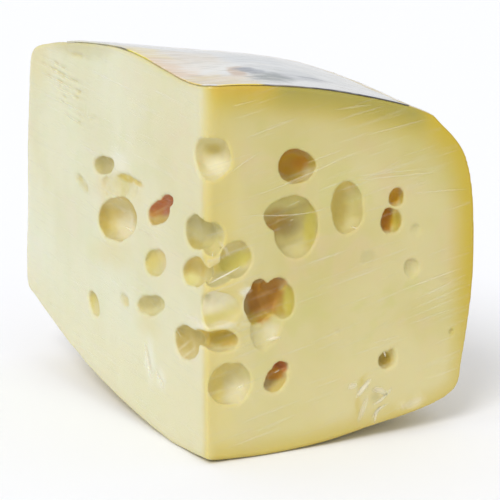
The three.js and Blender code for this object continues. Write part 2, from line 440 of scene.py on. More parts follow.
# An eye is a gas hole: (out, up) of its mouth's middle on a cut face, width, height and depth, all in mm, the
# turn of the ellipse in degrees, and the tone painted into it as shade. A wash is a patch of colour: (out,
# up) of its middle, width, height, turn, tone, how strong and how soft it is. It lies in the eyes or on the
# cut, and the deeper into an eye it reaches, the further it leans to one side. In the eyes most washes are
# painted shade on the walls away from the light and painted light on the lit walls; on the cut a few are
# painted highlights.
cheese = {
    "step": 0.75,
    "low": (-2.4, -2.4, -4.8), "high": (121, 176, 149),
    "triangles": 190000,
    "edge": 0.9,              # rounding of the edges between cut, rind and sole
    "eyeRim": 0.55,           # rounding of an eye's mouth
    "eyeSink": 0.25,          # how far an eye's middle lies below the cut, as a share of its depth radius
    # unevennesses: how far up and down, length of a bump in mm, how many waves make it, seed
    "wobble": [(0.4, 10.0, 4, 11), (0.16, 10 / 3, 4, 14)],    # moves the eyes' walls
    "relief": (0.10, 16.0, 5, 3),
    "shortFace": [
        (37.9, 107.6, 15.6, 12.8, 11, -15, "amber"),
        (38.0, 84.2, 18.0, 22.6, 9, 0, "olive"), (33.8, 89.9, 17.8, 13.2, 9, 4, "olive"),
        (59.6, 91.8, 13.0, 16.0, 6.5, 0, "straw"), (59.9, 88.2, 13.4, 16.0, 6.5, 0, "straw"),
        (81.5, 91.8, 6.8, 7.0, 6, 0, "amber"), (78.0, 83.2, 7.4, 9.6, 8, 0, "brown"),
        (80.6, 82.6, 6.6, 8.0, 4, 0, "straw"),
        (90.1, 78.1, 4.6, 4.4, 1.0, 0, "pale"), (68.6, 70, 4.8, 4, 0.8, 0, "pale"),
        (88.5, 63.8, 6.4, 6.4, 1.8, 0, "pale"),
        (22.8, 56.8, 13.4, 15.0, 12, 0, "brown"), (22.4, 62.6, 7.2, 7.6, 9, 0, "brown"),
        (29.6, 61.6, 8.8, 9.4, 10, 0, "brown"), (28.6, 57.6, 9.0, 12.0, 10, 0, "brown"),
        (32.2, 56.6, 9.8, 13.0, 6, 0, "gold"), (25.0, 48.6, 12.0, 18.0, 3.2, -16, "pale"),
        (31.4, 30.8, 6.2, 5.4, 7, 0, "brown"), (29.2, 26.8, 8.8, 10.0, 8, -34, "brown"),
        (77.6, 28.0, 6.4, 6.6, 5, -20, "olive"), (80.2, 29.0, 3.6, 7.2, 2.4, 0, "gold"),
        (12.2, 75.0, 13.0, 14.0, 5.5, -30, "straw"), (6.0, 70.4, 12.5, 8.6, 4, 24, "straw"),
        (9.9, 27.9, 17.0, 15.8, 7.5, -20, "straw"),
        (6.4, 44.8, 14.0, 7.8, 5, -10, "gold"), (2.6, 85.0, 9.6, 8.4, 6, -20, "olive"),
        (55.1, 42.2, 2.6, 1.6, 0.6, 0, "pale"), (107.2, 35.9, 2.2, 2.2, 1.0, 0, "gold"),
    ],
    "longFace": [
        (90.6, 96.2, 19, 6.8, 3.2, -11, "olive"), (76.7, 89.8, 36, 9.6, 0.9, -8, "pale"),
        (78.5, 76.6, 36.9, 16.6, 11, -14, "straw"),
        (40.5, 86.3, 19.8, 8.8, 7, -20, "rust"), (33.2, 92.0, 11.4, 4.6, 6, -15, "rust"),
        (44.0, 66.0, 19.2, 9.9, 3.0, -17, "straw"),
        (111.6, 85.3, 11.9, 4.2, 1.0, 22, "pale"), (101.9, 36.9, 11.6, 7.9, 2.8, 39, "olive"),
        (48.3, 48.4, 25, 7.6, 2.4, -14, "olive"),
        (8.4, 84.9, 18.6, 12.6, 7, -10, "olive"), (10.6, 69.5, 19.7, 10.7, 6, -17, "straw"),
        (17.2, 40.9, 20.4, 12.9, 6, -10, "olive"), (5.4, 45.5, 15.3, 5.4, 4, -15, "gold"),
        (71.7, 45.2, 7, 4.6, 1.0, 16, "pale"),
    ],
    "grooves": [    # pressed into the long face by the film's wrinkles, as the eyes are given
        (131.3, 123.9, 48, 1.3, 0.55, 4.5, "olive"), (132.6, 127.6, 41, 1.2, 0.55, 5, "olive"),
        (128, 121.2, 40, 1.1, 0.5, 5, "olive"), (123.2, 115.7, 30, 1.2, 0.55, 3, "olive"),
        (120, 110.5, 24, 1.1, 0.5, 6, "olive"), (136, 130.8, 30, 1.0, 0.5, 4, "olive"),
        (118.6, 113.2, 22, 1.0, 0.5, 5, "olive"), (127, 118.4, 26, 1.0, 0.5, 4, "olive"),
        (106, 115.4, 1.6, 4.2, 0.6, 0, "pale"),
        (99.5, 114.0, 11, 1.2, 0.6, -4, "pale"), (114.5, 137.2, 26, 1.8, 0.7, 2, "straw"),
        (66, 95.2, 21, 1.8, 1.0, 2, "gold"),
    ],
    "corner": [    # middle (x, y, up) and radii
        ((2.2, 1, 113.5), (8.2, 8.6, 7.8), "pale"), ((3, 1, 83.6), (4.6, 5, 6), "olive"),
        ((2.4, -1, 57.2), (12.4, 5.2, 7.0), "pale"),
    ],
    # the tone painted as shade into each eye, deep down and on the walls that look away from the light
    "tones": {"pale": "#d2c78e", "straw": "#d9c46e", "olive": "#c3b460", "gold": "#d6b640",
              "amber": "#bd8c26", "brown": "#a6742a", "rust": "#a8621c"},
    "edgeTones": {    # colour, how strong, and the mm over which it fades out
        # underCrown and underLabel darken the short face just below the crown and the label: partly the
        # rind's green, partly painted shade under their edges
        "foot": ("#d9cf9c", 0.45, (15, 55)), "underCrown": ("#bfb164", 0.42, (8, 32)),
        "byRind": ("#c4ad3c", 1.0, (1.5, 15)), "rind": ("#bfa434", 1.0, (0.2, 1.8)),
        "underLabel": ("#a39a52", 0.85, (0, 13)), "cornerTop": ("#c9aa48", 0.85, (0, 7)),
    },
    # mm over which one part of the surface passes into the next
    "longSide": ((-2.5, 0.3), (0.5, 5)),
    "shortSide": (0.4, 2.0),
    "foot": (20, 60),
    "fromCorner": (1, 5),
    "pastCorner": (20, 34),
    "pastLabel": (88, 98),
    "mouth": (0.2, 1.0),      # down into an eye, where the cut's washes give way to an eye's
    "rindReach": {"short": (1, 1.6), "long": (8, 3)},    # how narrow a rind tone is, high up and at the foot
    "rindShare": {"byRind": (0.55, 0.25), "rind": (0.35, 0.2)},    # what is left of it at the foot and corner
    # painted shade in the eyes: on which walls and from what depth an eye's shade tone lies
    "eyeShade": {"within": 1.6, "side": (-0.45, 0.7), "deep": (0.3, 3.0)},    # which walls take an eye's tone
    "longPaling": {"least": 0.6, "back": 0.3, "backBand": (20, 100), "low": 0.45, "lowBand": (20, 80),
              "deep": (0.2, 1.2), "patches": (0.18, 40.0, 5, 43)},    # how it grows along the long face
    "deepest": 15.0,          # mm from a face to where its washes end
    "ragged": [(0.16, 9, 5), (0.08, 3, 5)],    # a wash's edge, whose seeds count up from the first one
    "firstSeed": 60,
    "lean": {"short": (0.53, -0.26), "long": (1.88, -0.49)},    # mm aside and up for each mm of depth
    "washTones": {
        "umber": "#86703f", "brown": "#ba8626", "amber": "#cfa61e", "orange": "#cf9014", "brick": "#bf661c",
        "rust": "#c06a12", "gilt": "#e0b41c", "tan": "#d2a458", "ochre": "#b8923c", "mustard": "#c0a92a",
        "moss": "#b69c34", "olive": "#c8bc54", "khaki": "#b9b07c", "honey": "#c3ae4e", "straw": "#dfcc72",
        "lime": "#dad38c", "sand": "#d2c78f", "cream": "#e1d9b5", "shade": "#a99b55", "milk": "#e6e6dc",
    },
    "washes": [
        # inside the short face's eyes, mostly painted shade on the upper walls away from the light, with the
        # edges of cast shadows, and painted light in sand and cream on the lit lower walls
        ("short", "in", [
            ((35.6, 109.6), 14, 8.5, 4, "amber", 0.95, 0.25), ((39.6, 109.4), 7, 4, 0, "orange", 0.6, 0.7),
            ((44.2, 109.0), 3.5, 7, 0, "mustard", 0.7, 0.5), ((36.4, 103.4), 12, 5.0, 4, "honey", 0.75, 0.5),
            ((37.0, 104.8), 11, 1.0, 14, "sand", 0.5, 0.7), ((38.0, 102.4), 9, 1.0, 14, "cream", 0.5, 0.7),
            ((43.4, 103.4), 6, 6, 0, "sand", 0.8, 0.5), ((34.0, 94.6), 18, 4.0, 4, "lime", 0.55, 0.5),
            ((29.0, 87.6), 12, 9.0, 0, "ochre", 0.75, 0.5), ((26.6, 84.6), 5, 4, 0, "brown", 0.5, 0.5),
            ((33.6, 85.0), 13, 6.5, 6, "umber", 0.55, 0.75), ((31.0, 91.0), 16, 1.4, 12, "khaki", 0.5, 0.7),
            ((38.0, 79.6), 11, 1.6, 16, "khaki", 0.5, 0.7), ((43.6, 84.5), 5.5, 15, 0, "olive", 0.8, 0.45),
            ((36.5, 75.4), 12, 5.5, 0, "sand", 0.8, 0.45), ((56.4, 91.0), 6.5, 17, 0, "honey", 0.65, 0.6),
            ((62.0, 83.4), 8, 5, 0, "sand", 0.8, 0.5), ((80.4, 92.4), 4.6, 6.5, 0, "gilt", 0.95, 0.3),
            ((84.2, 91.0), 2.4, 6, 0, "mustard", 0.8, 0.4), ((77.2, 83.6), 5.6, 9, 0, "orange", 0.95, 0.25),
            ((81.4, 83.0), 4.6, 9, 0, "mustard", 0.9, 0.7), ((78.4, 80.2), 1.0, 4, 10, "ochre", 0.6, 0.5),
            ((23.8, 59.6), 17, 18, 0, "brown", 0.95, 0.2), ((32.0, 54.6), 7, 7, 0, "moss", 0.85, 0.5),
            ((27.2, 45.6), 7, 6, 0, "cream", 0.6, 0.7), ((21.8, 66.4), 5, 2.6, 0, "khaki", 0.6, 0.5),
            ((30.4, 64.2), 8, 2.4, 14, "tan", 0.6, 0.6), ((25.4, 61.0), 13, 1.5, 16, "tan", 0.55, 0.6),
            ((24.0, 55.4), 12, 1.3, 18, "tan", 0.45, 0.7), ((30.6, 57.0), 6, 2.0, 40, "ochre", 0.6, 0.6),
            ((34.6, 56.4), 4.6, 12, 0, "olive", 0.9, 0.4), ((18.6, 51.4), 5, 5.5, 0, "mustard", 0.8, 0.5),
            ((24.4, 52.6), 9, 3.0, 0, "honey", 0.7, 0.6), ((30.6, 31.6), 7, 4.6, -20, "brick", 0.85, 0.35),
            ((28.6, 28.6), 9, 5.0, -10, "orange", 0.85, 0.35), ((29.4, 29.4), 8, 1.1, 20, "tan", 0.7, 0.6),
            ((30.4, 24.4), 9, 4.6, 10, "straw", 0.8, 0.5), ((77.2, 28.2), 7, 5.4, 0, "moss", 0.95, 0.35),
            ((2.4, 117.4), 8, 4, 0, "honey", 0.6, 0.5), ((5.2, 110.6), 10, 8, 0, "cream", 0.8, 0.6),
            ((12.0, 80.6), 9, 7, 0, "sand", 0.6, 0.5), ((11.0, 74.4), 15, 7, 20, "olive", 0.85, 0.35),
            ((13.4, 69.6), 8, 3.4, 20, "khaki", 0.6, 0.5), ((4.6, 67.8), 11, 4, 20, "khaki", 0.75, 0.5),
            ((2.0, 86.4), 9, 6, 0, "khaki", 0.7, 0.5), ((6.0, 46.0), 16, 6, -6, "moss", 0.85, 0.4),
            ((9.4, 43.6), 7, 2.4, -10, "amber", 0.4, 0.6), ((6.0, 44.4), 10, 1.2, 24, "honey", 0.5, 0.7),
            ((4.0, 27.0), 6, 14, 0, "straw", 0.8, 0.6), ((13.0, 24.4), 11, 10, 0, "cream", 0.7, 0.7),
            ((3.0, 60.4), 16, 8, 10, "cream", 0.9, 0.6), ((3.4, 54.0), 18, 3.2, 6, "olive", 0.45, 0.7),
        ]),
        ("short", "on", [
            ((6.0, 50.8), 17, 2.4, -4, "milk", 0.65, 0.7),
        ]),
        ("long", "on", [
            ((6.0, 51.4), 16, 2.4, 6, "milk", 0.5, 0.7),
        ]),
        # on the short face: the tall straw, mustard and honey strips by the worn corner are painted shade
        # that tones down the light it catches, and the cream patch at (89, 9.4) is a painted highlight
        ("short", "on", [
            ((3.0, 72.0), 8, 14, -24, "cream", 0.55, 0.6), ((17.2, 62.4), 7, 3.4, 0, "milk", 0.7, 0.5),
            ((16.0, 57.0), 2.4, 8, 0, "cream", 0.6, 0.5), ((66.8, 21.6), 2.6, 6.5, -20, "mustard", 0.6, 0.5),
            ((65.0, 11.5), 2.6, 10, -6, "mustard", 0.5, 0.5), ((89.0, 9.4), 12, 4, 8, "cream", 0.75, 0.5),
            ((72.0, 13.0), 15, 16, 0, "sand", 0.5, 0.6), ((72.6, 14.0), 4, 4.5, 0, "khaki", 0.7, 0.5),
            ((6.0, 66.0), 15, 150, 0, "straw", 0.26, 0.6), ((6.5, 96.0), 9, 62, 0, "mustard", 0.15, 0.6),
            ((1.5, 70.0), 6, 150, 0, "honey", 0.2, 0.7), ((107.2, 35.9), 2.4, 2.4, 0, "mustard", 0.6, 0.5),
            ((68.6, 70.0), 6, 5, 0, "khaki", 0.6, 0.7),
        ]),
        # painted shade in the eye high on the long face, at (90, 97)
        ("long", "in", [
            ((90, 96.8), 16, 8, -10, "shade", 0.7, 0.7),
        ]),
        ("long", "on", [
            ((77, 89.0), 36, 12, -8, "sand", 0.6, 0.8),
        ]),
        ("long", "in", [
            ((67, 95.0), 22, 2.6, 1, "mustard", 0.9, 0.6),
        ]),
        ("long", "on", [
            ((58, 94.6), 8, 1.8, 0, "amber", 0.6, 0.6), ((112, 141), 56, 7, -3, "khaki", 0.5, 0.7),
        ]),
        # inside the long face's eyes: painted shade on the walls away from the light, with the shade wash at
        # (48, 49.6) under an eye's top, and painted light in sand, cream and honey on the lit walls
        ("long", "in", [
            ((90, 76), 9, 16, 0, "honey", 0.75, 0.6), ((80, 83.0), 26, 6, -8, "sand", 0.7, 0.6),
            ((70, 74.0), 19, 12, 0, "cream", 0.9, 0.6), ((38.0, 90.4), 26, 9, -15, "rust", 0.98, 0.3),
            ((43.0, 85.6), 13, 3.4, -14, "orange", 0.6, 0.5), ((39.4, 87.6), 15, 1.0, -24, "tan", 0.7, 0.6),
            ((40.0, 83.0), 18, 4.6, -14, "honey", 0.9, 0.5), ((47, 66), 14, 9, -17, "olive", 0.4, 0.7),
            ((104, 36), 5, 10, 30, "olive", 0.5, 0.5), ((48, 49.6), 22, 5, -14, "shade", 0.7, 0.7),
        ]),
        ("long", "on", [
            ((50, 41), 20, 9, 0, "sand", 0.5, 0.8), ((85, 62), 34, 12, -10, "sand", 0.5, 0.8),
            ((158, 132), 30, 26, 0, "sand", 0.6, 0.8), ((111.6, 85.3), 12, 4.2, 22, "khaki", 0.5, 0.8),
            ((71.7, 45.2), 8, 5, 16, "khaki", 0.5, 0.8), ((3.2, 60.8), 5, 2.2, -68, "khaki", 0.7, 0.5),
        ]),
        ("long", "in", [
            ((10, 86), 16, 12, -10, "khaki", 0.7, 0.4), ((9, 80.5), 10, 4, 0, "mustard", 0.5, 0.5),
            ((11, 70), 16, 8, -17, "moss", 0.45, 0.6), ((13, 65.4), 16, 6, -17, "lime", 0.95, 0.5),
            ((1.0, 63.6), 7, 5, 0, "khaki", 0.7, 0.6), ((14, 42), 24, 10, -10, "moss", 0.6, 0.6),
            ((21, 38), 14, 1.2, -30, "cream", 0.5, 0.7), ((17, 36), 12, 1.0, -30, "cream", 0.5, 0.7),
        ]),
        ("long", "on", [
            ((48.7, 25.4), 8, 17, 0, "milk", 0.5, 0.6), ((39.0, 21.1), 8, 7, 0, "milk", 0.5, 0.6),
            ((75, 100), 14, 9, 0, "milk", 0.4, 0.8),
        ]),
    ],
    "paste": {
        "tone": "#cabf80",
        "noises": {    # bump size in mm, detail, roughness and distortion
            "cloud": (35.0, 3.0, 0.5, 0.0), "patch": (22.0, 4.0, 0.6, 0.4), "grain": (1.6, 3.0, 0.5, 0.0),
        },
        "tints": [("cloud", 0.35, 0.65, 1.0, "#d0c58f"), ("patch", 0.52, 0.68, 0.5, "#d2be90"),
                  ("patch", 0.46, 0.32, 0.5, "#c7c27a")],
        "longPaling": ("#e1ebe2", 0.45),        # a pale green-white laid over the long face, and how strong it is
        # painted shade: how an eye's shade tone grows with depth
        "eyeShadeTint": (0.5, 8.0, 0.25),       # mm deep where an eye's tone starts and is full, and how strong
        "grainHeight": 0.0002, "grainStrength": 0.12,
        "roughness": 0.42, "ior": 1.46, "sheen": 0.2,
        "soak": 0.35, "soakReach": 0.004, "soakColour": (1.0, 0.7, 0.3),
    },
}


def eyeList(settings):
    # every eye as its middle, radii, axes, painted shade tone and the direction that points away from the
    # light inside it
    found = []
    spreadBack = 1 / math.sqrt(1 - settings["eyeSink"] ** 2)
    up = np.array([0.0, 0.0, 1.0])
    for face, outward, into, away in (("shortFace", (1, 0, 0), (0, 1, 0), (-0.6, 0, 0.8)),
                                      ("longFace", (0, 1, 0), (1, 0, 0), (0, 0.6, 0.8)),
                                      ("grooves", (0, 1, 0), (1, 0, 0), (0, 0.6, 0.8))):
        outward, into = np.array(outward, float), np.array(into, float)
        for out, height, wide, tall, deep, turn, tone in settings[face]:
            half = deep / (1 + settings["eyeSink"])
            middle = out * outward + height * up + settings["eyeSink"] * half * into
            axes = np.array([*turned(outward, up, turn), into])
            radii = np.array([wide / 2 * spreadBack, tall / 2 * spreadBack, half])
            found.append((middle, radii, axes, tone, np.array(away)))
    for middle, radii, tone in settings["corner"]:
        found.append((np.array(middle, float), np.array(radii, float), np.eye(3), tone, up))
    return found


eyes = eyeList(cheese)


def ellipsoidDistance(p, middle, radii, axes):
    q = (p - middle.astype(p.dtype)) @ axes.T.astype(p.dtype)
    k0 = np.linalg.norm(q / radii, axis=-1)
    k1 = np.linalg.norm(q / radii ** 2, axis=-1)
    return k0 * (k0 - 1) / np.maximum(k1, 1e-6)


def eyesOnGrid(axes, shape, warp=None):
    # the distance outside all the eyes, worked out only near each of them
    far, margin = 30.0, 4.0
    pits = np.full(shape, far, np.float32)
    for middle, radii, eyeAxes, tone, away in eyes:
        reach = radii.max() + margin
        box = tuple(slice(np.searchsorted(axis, middle[d] - reach), np.searchsorted(axis, middle[d] + reach))
                    for d, axis in enumerate(axes))
        p = np.stack(np.meshgrid(*[axis[cut] for axis, cut in zip(axes, box)], indexing="ij"), -1)
        p = warp(p) if warp else p
        pits[box] = np.minimum(pits[box], ellipsoidDistance(p, middle, radii, eyeAxes))
    return pits


def wobbled(p, settings):
    # points moved a little, which makes the eyes less regular
    shift = [sum(uneven(p, *wave, seed + d) for *wave, seed in settings["wobble"]) for d in range(3)]
    return p + np.stack(shift, -1).astype(p.dtype)


def makeCheese(settings):
    axes = gridAxes(settings["low"], settings["high"], settings["step"])

    def body(p):
        return wedgeDistance(p, settings["edge"], soleLevel) + uneven(p, *settings["relief"])

    values = fillGrid(axes, body)
    pits = eyesOnGrid(axes, values.shape, lambda p: wobbled(p, settings))
    values = smoothMax(values, -pits, settings["eyeRim"])
    piece = addPiece("cheese_paste", *surfaceNet(values, axes))
    return thinTo(piece, settings["triangles"])


def lay(paint, tone, share):
    # one more wash over what is already painted: paint holds the colours and how far they cover
    colours, cover = paint
    return layOver(colours, ink(tone), share), 1 - (1 - cover) * (1 - share)


def layEdges(p, paint, onLong, settings):
    # the deeper yellow towards the rind, olive under the crown and the label, partly the rind's green and
    # partly painted shade, and gold by the corner
    x, y, z = p.T
    low = 1 - smoothstep(z, *settings["foot"])
    fromCorner = smoothstep(np.abs(x), *settings["fromCorner"])
    onShort = 1 - smoothstep(y, *settings["shortSide"])
    pastCorner = smoothstep(x, *settings["pastCorner"])
    onLabelSpan = pastCorner * (1 - smoothstep(x, *settings["pastLabel"]))
    crownGap = crownHeights(x, y) - z
    narrowed = [lerp(*settings["rindReach"][face], low) for face in ("short", "long")]
    rindGap = np.clip(-wheelDistance(p), 0, 30) * lerp(*narrowed, onLong)
    left = {name: lerp(1, atFoot, low) * lerp(atCorner, 1, fromCorner)
            for name, (atFoot, atCorner) in settings["rindShare"].items()}
    for name, gap, share in (("foot", z, 1), ("underCrown", crownGap, onShort),
                             ("byRind", rindGap, left["byRind"]), ("rind", rindGap, left["rind"]),
                             ("underLabel", crownGap, onShort * onLabelSpan),
                             ("cornerTop", crownGap, onShort * (1 - pastCorner))):
        tone, strong, fade = settings["edgeTones"][name]
        paint = lay(paint, tone, strong * share * (1 - smoothstep(gap, *fade)))
    return paint


def layWashes(p, depth, paint, settings):
    # the washes lay stains, the eyes' painted shade and light, and a few painted highlights on the cut
    inEyes = smoothstep(depth, *settings["mouth"])
    seed = settings["firstSeed"]
    for face, where, rows in settings["washes"]:
        out, into = (p[:, 0], p[:, 1]) if face == "short" else (p[:, 1], p[:, 0])
        into = np.clip(into, 0, settings["deepest"])
        aside, rise = settings["lean"][face]
        reach = (inEyes if where == "in" else 1 - inEyes) * (into < settings["deepest"] - 0.1)
        for middle, wide, tall, turn, tone, strong, soft in rows:
            along, across = turned(out - aside * into - middle[0], p[:, 2] - rise * into - middle[1], turn)
            share = blot(2 * along / wide, 2 * across / tall, p, soft, seed, settings["ragged"])
            paint = lay(paint, settings["washTones"][tone], strong * share * reach)
            seed += 2
    return paint


def layEyeShade(piece, p, depth, settings):
    # painted shade in the eyes: each eye's shade tone, on the walls that look away from the light
    shade = settings["eyeShade"]
    shadeTint = np.tile(ink(settings["tones"]["pale"]), (len(p), 1))
    tone = np.zeros(len(p))
    nearest = np.full(len(p), shade["within"])
    warped = wobbled(p, settings)
    for middle, radii, axes, name, away in eyes:
        gap = np.abs(ellipsoidDistance(warped, middle, radii, axes))
        mine = gap < nearest
        nearest[mine] = gap[mine]
        shadeTint[mine] = ink(settings["tones"][name])
        side = (((p[mine] - middle) @ axes.T) / radii) @ axes @ away
        tone[mine] = smoothstep(side, *shade["side"])
    giveColour(piece, "eyeShadeTint", shadeTint)
    giveNumber(piece, "eyeShadeShare", tone * smoothstep(depth, *shade["deep"]))
    giveNumber(piece, "eyeDepth", depth)


def paintCheese(piece, settings):
    p = placesOf(piece)
    depth = np.clip(-wedgeDistance(p, settings["edge"], soleLevel), 0, 20)
    onLong = onLongSide(p, settings["longSide"])
    bare = (np.zeros((len(p), 3)), np.zeros(len(p)))
    colours, cover = layWashes(p, depth, layEdges(p, bare, onLong, settings), settings)
    giveColour(piece, "washWithPaintedLight", colours / np.maximum(cover, 1e-4)[:, None])
    giveNumber(piece, "washWithPaintedLightShare", cover)
    layEyeShade(piece, p, depth, settings)
    # a pale green-white over the long cut face, more towards the back and the foot, in patches
    longPaling = settings["longPaling"]
    grown = (longPaling["least"] + longPaling["back"] * smoothstep(p[:, 1], *longPaling["backBand"])
             + longPaling["low"] * (1 - smoothstep(p[:, 2], *longPaling["lowBand"])))
    onCut = onLong * (1 - smoothstep(depth, *longPaling["deep"]))
    giveNumber(piece, "longPaling", onCut * grown * (1 + uneven(p, *longPaling["patches"])))


def makePasteMaterial(settings):
    # semi-hard cow's milk cheese, knife-cut: a soft waxy sheen with light soaking a few mm in,
    # pale straw in the middle, deeper yellow to the rind, brown gold painted as shade down in the gas eyes
    material, tree = newMaterial("semiHardCheese")
    coords = addNode(tree, "ShaderNodeTexCoord").outputs["Object"]
    noises = {}
    for name, (size, detail, roughness, distortion) in settings["noises"].items():
        noises[name] = addNode(tree, "ShaderNodeTexNoise", {
            "Vector": coords, "Scale": 1000 / size, "Detail": detail, "Roughness": roughness,
            "Distortion": distortion}).outputs[0]
    painted = {name: addNode(tree, "ShaderNodeAttribute", attribute_name=name).outputs[socket]
               for name, socket in (("washWithPaintedLight", "Color"), ("washWithPaintedLightShare", "Fac"), ("eyeDepth", "Fac"),
                                    ("eyeShadeShare", "Fac"), ("eyeShadeTint", "Color"), ("longPaling", "Fac"))}
    paste = layTones(tree, colour(settings["tone"]), [
        (noises[name], first, second, most, colour(tone))
        for name, first, second, most, tone in settings["tints"]])
    palingTone, palingMost = settings["longPaling"]
    pale = addNode(tree, "ShaderNodeMath", {0: painted["longPaling"], 1: palingMost},
                   operation="MULTIPLY").outputs[0]
    paste = addNode(tree, "ShaderNodeMix", {0: pale, 6: paste, 7: colour(palingTone)},
                    data_type="RGBA").outputs[2]
    # painted shade in the eyes: the shade tone deepens downward and lies on the walls away from the light;
    # then the washes with their painted shade and light
    paste = layTones(tree, paste, [(painted["eyeDepth"], *settings["eyeShadeTint"], painted["eyeShadeTint"])])
    for share, over in (("eyeShadeShare", "eyeShadeTint"), ("washWithPaintedLightShare", "washWithPaintedLight")):
        paste = addNode(tree, "ShaderNodeMix", {0: painted[share], 6: paste, 7: painted[over]},
                        data_type="RGBA").outputs[2]
    bump = addNode(tree, "ShaderNodeBump", {"Height": noises["grain"], "Strength": settings["grainStrength"],
                                            "Distance": settings["grainHeight"]}).outputs[0]
    shader = addNode(tree, "ShaderNodeBsdfPrincipled", {
        "Base Color": paste, "Roughness": settings["roughness"], "IOR": settings["ior"],
        "Specular IOR Level": settings["sheen"], "Subsurface Weight": settings["soak"],
        "Subsurface Radius": settings["soakColour"], "Subsurface Scale": settings["soakReach"],
        "Normal": bump})
    addNode(tree, "ShaderNodeOutputMaterial", {"Surface": shader.outputs[0]})
    return material


cheesePaste = makeCheese(cheese)
paintCheese(cheesePaste, cheese)
coat(cheesePaste, makePasteMaterial(cheese["paste"]))
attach(cheesePaste, "root")
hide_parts("cheese")
print("cheese made:", len(cheesePaste.data.polygons), "faces")

label = {
    "centre": (-36.0, 9.0), "radius": 123.0,    # cut from a round label, mm
    "rise": 0.34, "thickness": 0.5,             # middle of the paper above the crown
    "crease": (0.16, 17.0, 7, 8),               # as the cheese's relief
    "creaseFade": (0.5, 6),                     # mm from the cuts where the creases start and are full
    "inset": 0.35,
    "low": (-2, -2), "high": (92, 130), "step": 0.9, "layers": 10, "layerStep": 0.17,
    "paper": "#d9dbdd",
    "washes": [    # colour, middle (x, y), half size, turn, softness, seed, strength
        ("#dfcf96", (5, 56), (9, 22), 0, 0.4, 21, 0.95), ("#dcc6ae", (6, 36), (10, 16), 0, 0.4, 23, 0.95),
        ("#d6cdbf", (19, 50), (12, 16), 0, 0.5, 25, 0.85), ("#d6c59e", (8, 12), (15, 11), 0, 0.4, 33, 0.95),
        ("#e3e3df", (20, 34), (12, 10), 20, 0.5, 35, 0.7), ("#c0a58c", (25, 24), (8, 3.5), 60, 0.4, 37, 0.85),
        ("#dccbb4", (16, 14), (12, 3), 10, 0.5, 39, 0.7),
        ("#7b8290", (32, 26), (6, 4.5), -30, 0.35, 27, 0.95),
        ("#7f888c", (36, 15), (10, 6.5), 30, 0.35, 29, 0.95),
        ("#b0b1b8", (51, 19), (9, 4), -10, 0.4, 49, 0.85),
        ("#b9bfc5", (50, 25), (14, 9), -20, 0.5, 31, 0.6), ("#8d929c", (56, 20), (7, 1.6), 0, 0.4, 41, 0.9),
        ("#c4cad0", (45, 50), (14, 12), 0, 0.5, 43, 0.7), ("#e6e7e8", (80, 36), (22, 12), -20, 0.5, 45, 0.7),
        ("#ccd0d4", (66, 34), (5, 14), 30, 0.5, 47, 0.6),
    ],
    "ragged": [(0.22, 14, 6), (0.14, 5, 6)],    # as the cheese's
    # the dark stretches of the cut edges are painted shade of the edge over the gap under the paper
    "longEdge": [    # the cut edge's colour at each distance from the corner
        (0, "#e6cf50"), (14, "#dfc46a"), (24, "#cdb486"), (44, "#c6ae80"), (50, "#d9cb2e"), (66, "#e2d83c"),
        (69, "#4c4636"), (74, "#5c5846"), (80, "#b2af8a"), (96, "#cfcdb5"),
    ],
    "shortEdge": [
        (0, "#ead24e"), (22, "#e6cc44"), (25, "#54483a"), (34, "#8a7c68"), (46, "#4c4648"), (60, "#323036"),
        (86, "#34323a"),
    ],
    "strokes": {"turn": 28.0, "size": (11.0, 1.8, 10.0)},    # smears in the print: degrees and mm
    "smears": [(0.5, 0.66, 0.28, "#eceded"), (0.46, 0.34, 0.22, "#8f8a86")],
    "fibre": 0.9, "fibreHeight": 0.0001, "fibreStrength": 0.2,
    "roughness": 0.45, "ior": 1.5,
}


def makeLabel(settings):
    # the sheet is found over a flat crown, then raised to the crown's height
    axes = gridAxes(settings["low"], settings["high"], settings["step"])
    axes.append(settings["layerStep"] * np.arange(-1, settings["layers"]))

    def sheet(p):
        crease = uneven(p[..., :2], *settings["crease"])
        middle = settings["rise"] + crease * smoothstep(-cutDistance(p), *settings["creaseFade"])
        across = np.abs(p[..., 2] - middle) - settings["thickness"] / 2
        cx, cy = settings["centre"]
        beyond = np.hypot(p[..., 0] - cx, p[..., 1] - cy) - settings["radius"]
        onTop = p * np.array([1, 1, 0]) + np.array([0, 0, wheel["cornerHeight"]])
        return np.maximum(np.maximum(across, beyond), cutDistance(onTop) + settings["inset"])

    points, faces = surfaceNet(fillGrid(axes, sheet), axes)
    points[:, 2] += crownHeights(points[:, 0], points[:, 1])
    return settle(addPiece("label_paper", points, faces))


def edgeToneAndShade(stations, along):
    # the cut edge's colour with its painted shade, from one station to the next
    places = [station for station, tone in stations]
    tones = np.array([ink(tone) for station, tone in stations])
    return np.stack([np.interp(along, places, tones[:, d]) for d in range(3)], 1)


def paintLabel(piece, settings):
    x, y, z = placesOf(piece).T
    flat = np.stack([x, y], 1)
    inks = np.tile(ink(settings["paper"]), (len(x), 1))
    for tone, middle, half, turn, soft, seed, most in settings["washes"]:
        along, across = turned(x - middle[0], y - middle[1], turn)
        share = most * blot(along / half[0], across / half[1], flat, soft, seed, settings["ragged"])
        inks = layOver(inks, ink(tone), share)
    # the cut edge's colour, with its painted shade, is laid over the print
    atEdge = 1 - smoothstep(np.minimum(np.abs(x), np.abs(y)), 0.45, 1.0)
    onLong, onShort = edgeToneAndShade(settings["longEdge"], y), edgeToneAndShade(settings["shortEdge"], x)
    cutToneAndShade = np.where((x < y)[:, None], onLong, onShort)
    giveColour(piece, "ink", layOver(inks, cutToneAndShade, atEdge))


